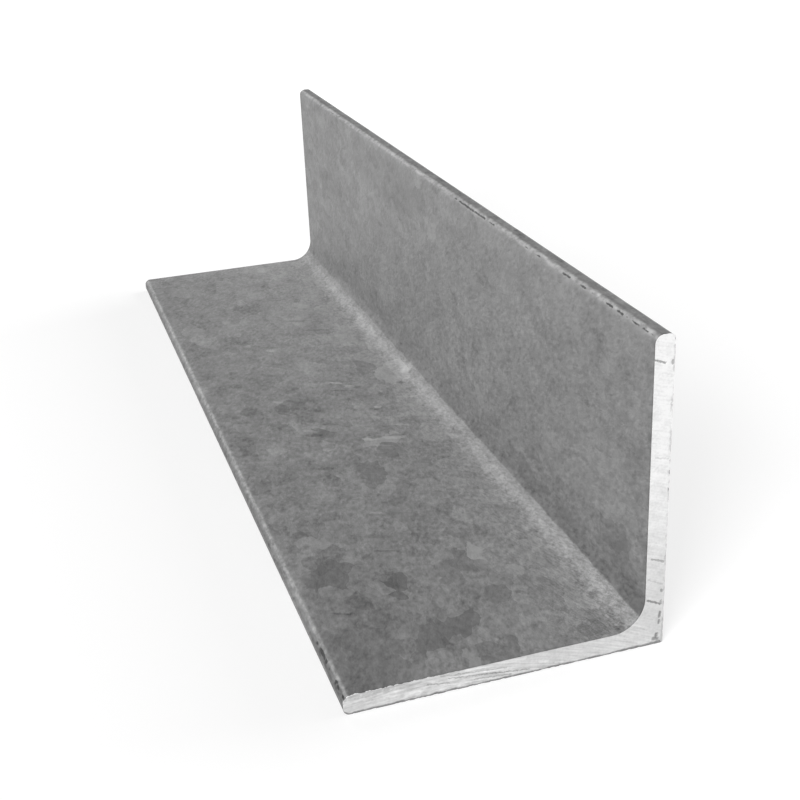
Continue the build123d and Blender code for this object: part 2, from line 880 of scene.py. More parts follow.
@dataclass(frozen=True)
class CrystalPatch(SkinMark):
    """A cluster of whole zinc crystals, whose length runs along the bar."""

    leg: Leg = Leg.BASE

    def shade(self, at: SkinPoint, centre: bpy.types.NodeSocket, draw: float) -> Field:
        """Finds the crystals that have their middle in the patch.

        Args:
            at: The point of the skin.
            centre: The middle of the crystal that the point is in, its place along the bar squeezed.
            draw: How much it is squeezed.

        Returns:
            The patch's tone inside it and 0 outside.
        """
        section = at.section
        out, along = self.out * MM, (self.along * MM - section.length / 2) / draw
        length, width = self.length * MM / draw, self.width * MM
        if self.leg is Leg.BASE:
            gap = at.writer.from_oval(centre, (section.heel_x - out, along, 0.0), (width, length, 0.0))
        else:
            gap = at.writer.from_oval(centre, (0.0, along, out), (0.0, length, width))
        return gap.under(1.0) * self.tone


@dataclass(frozen=True)
class Wrinkle(SkinMark):
    """A short wrinkle of the base leg's zinc, whose length runs across the leg, drawn as painted light
    where its tone is above 0 and painted shade where it is below.
    """

    EDGE_SPAN: ClassVar[Pair] = (1.1, 0.6)

    def shade(self, writer: TreeWriter, at: bpy.types.NodeSocket, slant: float) -> Field:
        """Draws the wrinkle.

        Args:
            writer: The tree to write into.
            at: The point, as a vector of how far out it is and how far along, less the slant.
            slant: How far along a wrinkle runs as it goes out.

        Returns:
            The wrinkle's tone inside it, falling to 0 at its edge.
        """
        middle = (self.out * MM, (self.along - self.out * slant) * MM, 0.0)
        gap = writer.from_oval(at, middle, (self.length * MM, self.width * MM, 0.0))
        return gap.rise(*self.EDGE_SPAN) * self.tone


@dataclass(frozen=True)
class WrinkledZinc:
    """The short wrinkles of the base leg's zinc, drawn as painted light and shade: faint ones all over its
    middle, and marked ones.
    """

    faint_size: float = 3.2 * MM
    faint_draw: float = 2.2
    slant: float = 0.42
    faint_shake: Pair = (2.0 * MM, 0.5 * MM)
    faint_width: float = 0.15
    faint_contrast: float = 0.05
    faint_start_span: Pair = (25 * MM, 70 * MM)
    faint_end_span: Pair = (230 * MM, 170 * MM)
    marked_shakes: tuple[Pair, ...] = ((4.0 * MM, 1.3 * MM), (1.1 * MM, 0.5 * MM))
    marked: tuple[Wrinkle, ...] = (
        Wrinkle(167, 32, 4.4, 2.5, 0.52),
        Wrinkle(162.5, 28, 3.2, 2.5, 0.52),
        Wrinkle(160, 31.5, 8, 2, -0.30),
        Wrinkle(169, 32.5, 2.8, 1.5, -0.31),
        Wrinkle(143, 24.5, 3.2, 2, 0.57),
        Wrinkle(142, 26, 2.4, 1.5, -0.31),
        Wrinkle(147, 13, 9, 2, 0.26),
        Wrinkle(119.5, 27.5, 6.4, 2.4, 0.36),
        Wrinkle(120.5, 25.5, 6, 1.8, -0.40),
        Wrinkle(121, 34, 4.8, 2.5, 0.39),
        Wrinkle(115, 31, 6, 1.8, 0.24),
        Wrinkle(127, 21.5, 4.8, 1.8, 0.34),
        Wrinkle(127.5, 25.5, 4.8, 1.8, -0.31),
        Wrinkle(130.5, 49, 5.2, 3, -0.34),
        Wrinkle(133.5, 49, 4.4, 2, 0.31),
        Wrinkle(136, 42.5, 4.4, 2.2, -0.31),
        Wrinkle(118.5, 47.5, 4, 1.8, 0.26),
        Wrinkle(159, 12, 3, 2.5, -0.52),
        Wrinkle(165, 7.5, 4, 5.0, 0.34),
        Wrinkle(205, 45.5, 3.4, 3, 0.39),
        Wrinkle(207.5, 44.5, 6, 2.5, -0.20),
        Wrinkle(159, 53.5, 3.2, 2.5, 0.39),
        Wrinkle(151, 48.5, 5.6, 2.5, -0.20),
        Wrinkle(147.5, 44, 5.2, 2.2, -0.20),
        Wrinkle(114, 10.5, 2, 2.2, 0.40),
        Wrinkle(106.5, 51.5, 6, 2.2, -0.30),
        Wrinkle(75.5, 45, 5, 2, 0.32),
        Wrinkle(86, 48, 3, 1.8, 0.28),
        Wrinkle(190.5, 46, 5, 3, -0.18),
        Wrinkle(212, 52, 2, 4, 0.22),
        Wrinkle(230.5, 29, 8, 2.2, -0.25),
        Wrinkle(217.5, 23.5, 12, 2, -0.22),
        Wrinkle(136.5, 70, 8, 3, -0.18),
        Wrinkle(55.5, 49, 7, 1.1, -0.28),
        Wrinkle(24.5, 24.5, 3.6, 2, -0.36),
        Wrinkle(31.5, 67.5, 5.6, 1.3, -0.28),
        Wrinkle(161.5, 26.5, 5, 1.8, -0.36),
        Wrinkle(178, 66.5, 10, 2.4, -0.12),
    )

    def faint_tones(self, at: SkinPoint) -> Field:
        """Draws the faint wrinkles as painted light and shade, each a lit pale side and a shaded dark one.

        Args:
            at: The point of the skin.

        Returns:
            What they add to the tone.
        """
        writer = at.writer
        slanted = at.y + at.x * self.slant
        drawn = writer.point(at.x / self.faint_draw, slanted, at.z / self.faint_draw)
        swell = writer.swing(writer.shaken(drawn, *self.faint_shake), self.faint_size)
        side = (swell / self.faint_width).at_least(-1.0).at_most(1.0)
        wave = side * (1.0 - side * side) * WAVE_GAIN
        span = at.from_near.rise(*self.faint_start_span) * at.from_near.rise(*self.faint_end_span)
        return wave * span * at.on_leg(Leg.BASE) * self.faint_contrast

    def marked_tones(self, at: SkinPoint) -> Field:
        """Draws the wrinkles that stand out, as painted pale and dark strokes of light and shade.

        Args:
            at: The point of the skin.

        Returns:
            What they add to the tone.
        """
        place = at.writer.point(at.from_outer, at.from_near - at.from_outer * self.slant)
        for shake in self.marked_shakes:
            place = at.writer.shaken(place, *shake)
        return sum(mark.shade(at.writer, place, self.slant) for mark in self.marked)


@dataclass(frozen=True)
class ToeEdge:
    """How the zinc lies along the rounded inner edge of one leg's toe.

    A paler line, partly painted highlight, and a row of bare flecks run along it, each at its own distance
    past the middle of the rounding. A fleck is its start and its end, in millimetres from the near cut,
    and its strength.
    """

    leg: Leg
    line: float
    line_width: float
    # painted shade on the toe's tip
    tip_dark: float
    fleck_line: float
    fleck_width: float
    flecks: tuple[Triple, ...]
    line_core: float = 0.2
    fleck_end: float = 0.7 * MM
    stray_offset: float = 5.0
    stray_length: float = 3 * MM
    stray: float = 0.4 * MM

    def across(self, at: SkinPoint, past_middle: float) -> Field:
        """Measures across the rounding from a line along it that strays a little.

        Args:
            at: The point of the skin.
            past_middle: How far past the middle of the rounding the line runs.

        Returns:
            The distance to the line.
        """
        along_only = at.writer.point(at.over.sign() * self.stray_offset, at.along / self.stray_length)
        wobble = at.writer.swing(along_only, detail=3.0) * self.stray
        return abs(at.off_root + wobble - (at.section.toe_middle + past_middle))

    def pale_line(self, at: SkinPoint) -> Field:
        """Returns 1 on the paler line, partly painted highlight, and 0 off it."""
        across = self.across(at, self.line)
        return across.rise(self.line_width, self.line_width * self.line_core) * at.on_leg(self.leg)

    def bare_flecks(self, at: SkinPoint) -> Field:
        """Draws the row of bare flecks.

        Args:
            at: The point of the skin.

        Returns:
            The strength of the fleck that the point is in, and 0 outside the flecks.
        """
        found = []
        for start, end, strength in self.flecks:
            started = at.from_near.rise(start * MM - self.fleck_end, start * MM + self.fleck_end)
            ended = at.from_near.rise(end * MM + self.fleck_end, end * MM - self.fleck_end)
            found.append(started * ended * strength)
        across = self.across(at, self.fleck_line)
        return across.rise(self.fleck_width, 0.0) * reduce(Field.at_least, found) * at.on_leg(self.leg)


@dataclass(frozen=True)
class ToeZinc:
    """The zinc along both toes: a paler, uneven line that is partly painted highlight, a tip darkened by
    painted shade, and a row of bare flecks.
    """

    # the pale toe line: partly zinc, partly painted highlight on the rounded edge
    line_pale: float = 0.52
    line_gap: Pair = (1.2 * MM, 3 * MM)
    line_span: Pair = (0.32, 0.62)
    line_crumb: float = 1.5 * MM
    line_crumble: float = 3.0
    # painted shade on the toe tips
    tip_span: Pair = (0.3 * MM, 1.2 * MM)
    tip_edge_span: Pair = (1.7 * MM, 3 * MM)
    tip_edge_dark: float = 0.14
    fleck_dark: float = 0.8
    fleck_crumb: Pair = (0.5 * MM, 1.3 * MM)
    fleck_crumb_offset: float = 3.0
    fleck_crumble: float = 3.4
    fleck_span: Pair = (0.15, 0.75)
    fleck_layer_span: Pair = (0.5, 0.7)

    edges: tuple[ToeEdge, ...] = (
        ToeEdge(
            Leg.UPRIGHT,
            line=0.3 * MM,
            line_width=1.15 * MM,
            tip_dark=0.50,
            fleck_line=-0.15 * MM,
            fleck_width=0.5 * MM,
            flecks=(
                (1.8, 3.2, 0.45),
                (4.0, 7.0, 0.6),
                (8.3, 11.7, 0.6),
                (13.4, 14.8, 0.35),
                (15.8, 18.8, 0.9),
                (20.8, 24.0, 1.0),
                (30.0, 31.5, 0.4),
                (34.6, 37.5, 0.9),
                (43.0, 47.5, 0.9),
                (57.0, 59.0, 0.4),
                (60.5, 62.7, 0.7),
                (66.5, 70.5, 0.4),
                (91.0, 95.0, 0.7),
                (97.8, 118.5, 1.0),
                (120.3, 122.3, 0.6),
                (230.0, 233.0, 0.4),
                (254.0, 262.0, 0.4),
            ),
        ),
        ToeEdge(
            Leg.BASE,
            line=-0.5 * MM,
            line_width=0.75 * MM,
            tip_dark=0.30,
            fleck_line=0.35 * MM,
            fleck_width=0.8 * MM,
            flecks=(
                (0.5, 2.0, 1.0),
                (4.2, 7.6, 1.0),
                (11.8, 13.2, 0.4),
                (14.8, 21.0, 1.0),
                (22.4, 23.8, 0.9),
                (140.0, 141.5, 0.5),
                (215.0, 222.0, 0.35),
            ),
        ),
    )

    def pale_lines(self, at: SkinPoint) -> Field:
        """Draws the paler line along the rounded edge of each toe, uneven as it goes: partly zinc, partly
        painted highlight.

        Args:
            at: The point of the skin.

        Returns:
            How pale the line is.
        """
        over, along = self.line_gap
        broken = at.writer.noise(at.writer.point(at.over / over, at.along / along), detail=4.0)
        crumbly = at.writer.swing(at.place, self.line_crumb) * self.line_crumble + 1.0
        lines = sum(edge.pale_line(at) for edge in self.edges)
        return lines * broken.rise(*self.line_span) * crumbly * self.line_pale

    def tips(self, at: SkinPoint) -> Field:
        """Paints shade on the tip of each toe.

        Args:
            at: The point of the skin.

        Returns:
            How much darker the tip is.
        """
        past_middle = at.off_root - at.section.toe_middle
        dark = sum(at.on_leg(edge.leg) * edge.tip_dark for edge in self.edges)
        rim = past_middle.rise(*self.tip_edge_span) * self.tip_edge_dark
        return past_middle.rise(*self.tip_span) * (dark + rim)

    def flecks(self, at: SkinPoint) -> Field:
        """Draws the bare flecks that the zinc has left along the toes.

        Args:
            at: The point of the skin.

        Returns:
            Each fleck's strength inside it and 0 outside.
        """
        found = sum(edge.bare_flecks(at) for edge in self.edges)
        over, along = self.fleck_crumb
        drawn = at.writer.point(at.over / over, at.along / along, self.fleck_crumb_offset)
        crumbs = at.writer.swing(drawn)
        ragged = found * (crumbs * self.fleck_crumble + 1.0)
        return ragged.rise(*self.fleck_span) * at.layer.rise(*self.fleck_layer_span)


@dataclass(frozen=True)
class RootZinc:
    """The zinc in the root: a pale, stranded band with a ragged upper rim, partly painted highlight, with
    painted shade above it, painted bounce light beside it on the base leg, and painted shade that narrows
    the highlight near the near cut.

    Its places are distances over the skin from the middle of the fillet, less than 0 on the base leg.
    """

    rim: float = 1.65 * MM
    rim_blur: float = 0.3 * MM
    rim_lump: float = 2.5 * MM
    rim_swing: float = 1.6 * MM
    rolled_draw: float = 2.4
    # the band's paler tone: partly zinc, partly painted highlight of the fillet
    pale: float = 0.06
    pale_span: Pair = (-3 * MM, -0.5 * MM)

    # painted bounce light on the base leg beside the root, stronger towards the far cut
    glow: float = 0.20
    glow_start_span: Pair = (-18 * MM, -7 * MM)
    glow_end_span: Pair = (-3.5 * MM, -6.5 * MM)
    glow_along_span: Pair = (40 * MM, 200 * MM)
    glow_least: float = 0.5

    speckle: float = 0.8 * MM
    speckle_contrast: float = 0.50
    speckle_span: Pair = (-9 * MM, -1 * MM)

    strand_length: float = 2.4 * MM
    strand_width: float = 0.55 * MM
    strand_slant: float = 0.28
    strand_offset: float = 5.0
    strand_contrast: float = 0.40
    strand_edge_span: Pair = (0.34, 0.66)
    strand_span: Pair = (-22 * MM, -3 * MM)
    strand_along_span: Pair = (80 * MM, 10 * MM)
    strand_least: float = 0.6

    crease: float = 1.1 * MM
    crease_width: float = 0.06
    crease_pale: float = 0.32
    crease_span: Pair = (-26 * MM, -9 * MM)
    crease_along_span: Pair = (50 * MM, 5 * MM)

    # painted shade that narrows the fillet's highlight near the near cut
    dull: float = 0.12
    dull_middle: float = -2.6 * MM
    dull_reach: float = 2.6 * MM
    dull_along_span: Pair = (160 * MM, 20 * MM)
    # painted shade in the corner above the band on the upright leg, strongest by the near cut
    shade: float = 0.26
    shade_span: Pair = (16 * MM, 0.0)
    deep_shade: float = 0.16
    deep_shade_span: Pair = (6.5 * MM, 3.0 * MM)
    shade_least: float = 0.4

    def band(self, at: SkinPoint) -> Field:
        """Finds what lies below the pale band's ragged upper rim.

        Args:
            at: The point of the skin.

        Returns:
            1 below the rim and 0 above it.
        """
        swing = at.writer.swing(at.drawn_out(self.rolled_draw), self.rim_lump, detail=4.0) * self.rim_swing
        return (at.over + swing).rise(self.rim + self.rim_blur, self.rim - self.rim_blur)

    def texture(self, at: SkinPoint) -> Field:
        """Draws what is below the rim: speckle, strands drawn out by rolling, and pale creases.

        Args:
            at: The point of the skin.

        Returns:
            What it adds to the tone.
        """
        writer = at.writer
        speckle = writer.swing(at.drawn_out(self.rolled_draw), self.speckle)
        speckle = speckle * at.over.rise(*self.speckle_span) * self.speckle_contrast

        slanted = (at.over + at.along * self.strand_slant) / self.strand_width
        strand_place = writer.point(slanted, at.along / self.strand_length, self.strand_offset)
        strands = writer.noise(strand_place, detail=3.0).rise(*self.strand_edge_span) - 0.5
        strength = at.from_near.rise(*self.strand_along_span).from_least(self.strand_least)
        strands = strands * at.over.rise(*self.strand_span) * strength * self.strand_contrast

        creases = abs(writer.swing(at.place, self.crease)).rise(self.crease_width, 0.0)
        creases = creases * at.over.rise(*self.crease_span) * at.from_near.rise(*self.crease_along_span)
        return speckle + strands + creases * self.crease_pale

    def tone(self, at: SkinPoint) -> Field:
        """Paints the root's tone, with its painted highlight, shade and bounce light.

        Args:
            at: The point of the skin.

        Returns:
            What the root adds to the tone.
        """
        band = self.band(at)
        # Partly painted highlight: the pale band on the fillet
        pale = band * at.over.rise(*self.pale_span) * self.pale
        # Painted bounce light on the base leg beside the root
        glow = at.over.rise(*self.glow_start_span) * at.over.rise(*self.glow_end_span) * self.glow
        lit = at.from_near.rise(*self.glow_along_span).from_least(self.glow_least)
        # Painted shade that narrows the fillet's highlight
        dull = abs(at.over - self.dull_middle).rise(self.dull_reach, 0.0) * self.dull
        # Painted shade in the corner above the band
        above = at.over.rise(*self.shade_span) * self.shade
        above = above + at.over.rise(*self.deep_shade_span) * self.deep_shade
        near = at.from_near.rise(at.section.length, 0.0).from_least(self.shade_least)
        shaded = dull * at.from_near.rise(*self.dull_along_span) + above * (1.0 - band) * near
        return pale + glow * lit + self.texture(at) * band - shaded


@dataclass(frozen=True)
class HotDipZinc:
    """The galvanised skin: matt grey zinc with a quiet spangle, paler in the root and on the toes, with
    painted highlight, shade and bounce light on it.

    Its crystals, clouds and grains lie over each other in layers, each a size and a contrast.
    """

    lightness: float = 0.235
    metallic: float = 0.3
    roughness: float = 0.58
    gloss_spread: float = 0.14
    grain_roughness: float = 0.3
    relief: float = 0.03 * MM
    flake_relief: float = 0.4
    grain_relief: float = 3.0
    seam_relief: float = 0.4
    seam_width: float = 0.05
    inner_span: Pair = (0.55, 0.8)

    crystals: tuple[Pair, ...] = ((8.5 * MM, 0.13), (4.8 * MM, 0.18), (2.8 * MM, 0.11))
    crystal_draw: float = 1.5
    crystal_power: float = 3.0
    crystal_shakes: tuple[Pair, ...] = ((7 * MM, 2.5 * MM), (1.8 * MM, 0.8 * MM))
    upright_calm: float = 0.4
    patch_strength: float = 1.75
    patch_full: float = 6.0
    patch_smooth: float = 0.45

    run_off: Triple = (0.266, 0.876, -0.402)
    clouds: tuple[Pair, ...] = ((22 * MM, 0.28), (7 * MM, 0.27), (2.6 * MM, 0.38))
    cloud_draw: float = 1.7
    upright_cloud: float = 0.72
    grains: tuple[Pair, ...] = ((1.1 * MM, 1.05), (0.45 * MM, 0.42))
    grain_draw: float = 2.3
    grain_spread: float = 0.5

    # painted shade and bounce light: the base leg lighter by the root, darker towards the toe
    base_painted_shade: float = 0.32
    fade_span: Pair = (14 * MM, 62 * MM)
    far_fade: float = 0.6
    upright_tone: float = 0.03
    upright_far_dark: float = 0.10
    upright_far_start: float = 190 * MM

    chip_out_span: Pair = (38 * MM, 58 * MM)
    chip_reach: float = 0.55 * MM
    chip_least: float = 0.08 * MM
    chip_edge: float = 0.1 * MM
    chip_layer_span: Pair = (0.7, 0.9)
    chip_lightness: float = 0.9
    cut_rim_width: float = 0.9 * MM
    cut_rim_dark: float = 0.18

    root: RootZinc = RootZinc()
    toes: ToeZinc = ToeZinc()
    wrinkled: WrinkledZinc = WrinkledZinc()
    patches: tuple[CrystalPatch, ...] = (
        CrystalPatch(18, 44, 8, 12, -0.17),
        CrystalPatch(12, 52, 10, 9, -0.14),
        CrystalPatch(38, 52, 10, 5, -0.20),
        CrystalPatch(49, 66, 13, 12, -0.14),
        CrystalPatch(44, 33, 7, 8, -0.13),
        CrystalPatch(40, 39, 12, 6, -0.09),
        CrystalPatch(25.5, 30, 6, 7, -0.13),
        CrystalPatch(21, 20, 17, 9, -0.09),
        CrystalPatch(4, 15.5, 10, 8, -0.19),
        CrystalPatch(4, 38, 10, 9, -0.11),
        CrystalPatch(56, 29, 6, 7, -0.12),
        CrystalPatch(99, 40, 17, 9, -0.14),
        CrystalPatch(92, 30, 6, 5, -0.11),
        CrystalPatch(73, 64, 10, 10, -0.08),
        CrystalPatch(6, 27, 11, 13, 0.04),
        CrystalPatch(111, 31, 9, 7, -0.14),
        CrystalPatch(130, 47, 6, 9, -0.15),
        CrystalPatch(154, 50, 10, 9, -0.11),
        CrystalPatch(177, 19, 11, 6, -0.12),
        CrystalPatch(48.5, 28, 8, 3, 0.20),
        CrystalPatch(35, 21, 6, 4, 0.15),
        CrystalPatch(45, 14, 8, 5, 0.15),
        CrystalPatch(16.5, 12.5, 10, 6, 0.15),
        CrystalPatch(26.5, 13.5, 9, 7, 0.08),
        CrystalPatch(5, 44, 8, 3, 0.15),
        CrystalPatch(39, 56.5, 5, 4, 0.12),
        CrystalPatch(66, 65, 6, 9, 0.13),
        CrystalPatch(119, 30, 8, 12, 0.18),
        CrystalPatch(168, 11, 14, 13, 0.15),
        CrystalPatch(158, 52, 7, 4, 0.12),
        CrystalPatch(234, 68, 13, 8, 0.10),
        CrystalPatch(225, 20, 60, 18, 0.05),
        CrystalPatch(240, 31, 45, 16, 0.05),
        CrystalPatch(12, 68, 26, 20, -0.06),
        CrystalPatch(24, 66, 56, 26, -0.04),
        CrystalPatch(17, 20, 16, 8, -0.08, Leg.UPRIGHT),
        CrystalPatch(32, 33, 60, 24, 0.04, Leg.UPRIGHT),
        CrystalPatch(190, 66, 80, 18, -0.05, Leg.UPRIGHT),
        CrystalPatch(66, 13, 26, 6, -0.07, Leg.UPRIGHT),
        CrystalPatch(17, 28, 10, 4, 0.08, Leg.UPRIGHT),
        CrystalPatch(27, 36, 12, 5, 0.06, Leg.UPRIGHT),
        CrystalPatch(70, 36.4, 5, 2.5, 0.13, Leg.UPRIGHT),
        CrystalPatch(103, 21, 8, 4, 0.09, Leg.UPRIGHT),
    )

    def crystal_tones(self, at: SkinPoint) -> tuple[Field, Field, Field, bpy.types.NodeSocket, Field]:
        """Draws the zinc's crystals, one size over the other, with ragged seams.

        Args:
            at: The point of the skin.

        Returns:
            What they add to the tone, and of the smallest ones, two random numbers for each crystal,
            its middle, and the distance to its seam.
        """
        place = at.drawn_out(self.crystal_draw)
        for shake in self.crystal_shakes:
            place = at.writer.shaken(place, *shake)
        tones = 0.0
        for size, contrast in self.crystals:
            flake, gloss, centre, seam = at.writer.cells(place, size)
            tones = (flake * 2.0 - 1.0) ** self.crystal_power * contrast + tones
        return tones, flake, gloss, centre, seam

    def patch_tones(self, at: SkinPoint, centre: bpy.types.NodeSocket) -> Field:
        """Adds up the patches, each a cluster of whole crystals.

        Args:
            at: The point of the skin.
            centre: The middle of the crystal that the point is in.

        Returns:
            What the patches add to the tone, 0 outside them.
        """
        tones = 0.0
        for leg in Leg:
            patches = (patch for patch in self.patches if patch.leg is leg)
            shades = sum(patch.shade(at, centre, self.crystal_draw) for patch in patches)
            tones = shades * at.on_leg(leg) + tones
        return tones

    def run_off_tones(self, at: SkinPoint, draw: float, layers: tuple[Pair, ...]) -> Field:
        """Draws clouds or grain, drawn out the way that the molten zinc ran off.

        Args:
            at: The point of the skin.
            draw: How much they are drawn out.
            layers: The size and the contrast of each layer.

        Returns:
            What they add to the tone.
        """
        place = at.run_off(self.run_off, draw)
        return sum(at.writer.swing(place, size, detail=1.0) * contrast for size, contrast in layers)

    def leg_tone(self, at: SkinPoint) -> Field:
        """Paints shade on the legs: the base leg darkens towards its toe, standing in for bounce light off
        the upright leg, and the upright leg darkens towards the far cut.

        Args:
            at: The point of the skin.

        Returns:
            What the fade adds to the tone.
        """
        nearness = at.from_near.rise(at.section.length, 0.0).from_least(self.far_fade)
        fade = (at.off_root.rise(*self.fade_span) - 0.5) * nearness * self.base_painted_shade
        far = at.from_near.rise(self.upright_far_start, at.section.length) * self.upright_far_dark
        return (self.upright_tone - far) * at.upright - fade * at.on_leg(Leg.BASE)

    def chipped(self, at: SkinPoint, steel: SawnSteel) -> Field:
        """Finds where the saw has torn the zinc off the rim of a cut, most on the base leg's outer part.

        Args:
            at: The point of the skin.
            steel: The cut.

        Returns:
            1 on bare steel and 0 on zinc.
        """
        reach = steel.tears(at) * (-at.over).rise(*self.chip_out_span) * self.chip_reach + self.chip_least
        return (reach - at.from_cut).rise(0.0, self.chip_edge) * at.layer.rise(*self.chip_layer_span)

    def material(self, section: AngleSection, steel: SawnSteel) -> bpy.types.Material:
        """Builds the finish.

        Args:
            section: The bar's sizes.
            steel: The bare metal that shows where the saw has torn the skin.

        Returns:
            The material.
        """
        finish = Finish("hot_dip_zinc", self.metallic)
        at = finish.point_on(section)
        inner = at.layer.rise(*self.inner_span)

        crystals, flake, gloss, centre, seam = self.crystal_tones(at)
        patches = self.patch_tones(at, centre) * inner
        smooth = 1.0 - (abs(patches) * self.patch_full).share() * self.patch_smooth
        crystal_calm = (1.0 - at.upright * inner * self.upright_calm) * smooth
        cloud_calm = at.upright * (self.upright_cloud - 1.0) + smooth
        clouds = self.run_off_tones(at, self.cloud_draw, self.clouds)
        grain = self.run_off_tones(at, self.grain_draw, self.grains)
        grain = grain * ((gloss - 0.5) * self.grain_spread + 1.0)

        # Painted light and shade of the wrinkles
        wrinkles = self.wrinkled.faint_tones(at) + self.wrinkled.marked_tones(at)
        marks = patches * self.patch_strength + wrinkles * inner
        # Painted light and shade: the legs' shading, the root's highlight, shade and bounce light, and the
        # toes' partly painted highlight lines
        places = (self.leg_tone(at) + self.root.tone(at) + self.toes.pale_lines(at)) * inner
        cut_rim = at.from_cut.rise(self.cut_rim_width, 0.0) * self.cut_rim_dark
        tone = 1.0 + crystals * crystal_calm + (clouds + grain) * cloud_calm + marks + places
        bare_flecks = self.toes.flecks(at) * self.toes.fleck_dark
        # Painted shade on the toe tips
        tone = (tone - self.toes.tips(at) - cut_rim) * (1.0 - bare_flecks)

        bare = steel.lightness * self.chip_lightness
        grey = (tone * self.lightness).towards(bare, self.chipped(at, steel))
        roughness = (gloss - 0.5) * self.gloss_spread + grain * self.grain_roughness + self.roughness
        seams = seam.rise(self.seam_width, 0.0) * self.seam_relief
        height = flake * self.flake_relief + grain * self.grain_relief - seams
        finish.dress(grey, roughness, height, self.relief)
        return finish.material


# ---------------------------------------------------------------------------------------------
# The bar
# ---------------------------------------------------------------------------------------------


def input_name(size: str) -> str:
    """Returns the name of the tree input that takes a size."""
    return size.replace("_", " ").title()


@dataclass(frozen=True)
class CellCounts:
    """How finely a stretch of the bar is divided."""

    root_cells: int
    leg_cells: int
    toe_cells: int
    layers: int
    rows: int


@dataclass(frozen=True)
class ProfileShare:
    """How far a point of a block of cells is through its leg and over each part of it, from 0 to 1.

    A layer of 0 is the leg's outer face and 1 its inner one. The root, the flat and the toe follow
    each other along the leg. Under the root, the outer face has the heel and the run beside it.
    """

    upright: Field
    layer: Field
    root: Field
    flat: Field
    toe: Field
    heel: Field
    heel_run: Field

    def flat_length(self, section: AngleSection, toe_radius: Field) -> Field:
        """Measures the flat of the point's leg, from the end of the root to the toe's rounding.

        Args:
            section: The bar's sizes, as inputs of the tree.
            toe_radius: The radius of the rounding, which differs on the two faces.

        Returns:
            The length of the flat.
        """
        reach = section.base_leg.towards(section.upright_leg, self.upright)
        return reach - toe_radius - (section.thickness + section.root_radius)

    def over_skin(self, section: AngleSection) -> Field:
        """Measures how far over the leg's inner face the point is from the middle of the root.

        Args:
            section: The bar's sizes, as inputs of the tree.

        Returns:
            The distance over the skin.
        """
        toe_in = section.toe_inner_radius
        arc = section.half_root_arc * self.root + self.flat_length(section, toe_in) * self.flat
        return arc + toe_in * (self.toe * QUARTER_TURN)

    def bent(self, section: AngleSection) -> tuple[Field, Field]:
        """Bends the leg's two faces round the root, the heel and the toe.

        Args:
            section: The bar's sizes, as inputs of the tree.

        Returns:
            How far the point is along its leg from the heel, and how far in from the outer face.
        """
        root_turn = self.root * (QUARTER_TURN / 2) + QUARTER_TURN / 2
        heel_turn = self.heel * (QUARTER_TURN / 2) + QUARTER_TURN / 2
        toe_turn = self.toe * QUARTER_TURN
        root_r, heel_r = section.root_radius, section.heel_radius
        toe_in, toe_out = section.toe_inner_radius, section.toe_outer_radius
        root_end = section.thickness + root_r

        inner_along = (
            root_end
            - root_r * root_turn.cosine()
            + self.flat_length(section, toe_in) * self.flat
            + toe_in * toe_turn.sine()
        )
        inner_in = root_end - root_r * root_turn.sine() - toe_in * (1.0 - toe_turn.cosine())
        outer_along = (
            heel_r * (1.0 - heel_turn.cosine())
            + (root_end - heel_r) * self.heel_run
            + self.flat_length(section, toe_out) * self.flat
            + toe_out * toe_turn.sine()
        )
        outer_in = heel_r * (1.0 - heel_turn.sine()) + toe_out * (1.0 - toe_turn.cosine())
        return outer_along.towards(inner_along, self.layer), outer_in.towards(inner_in, self.layer)


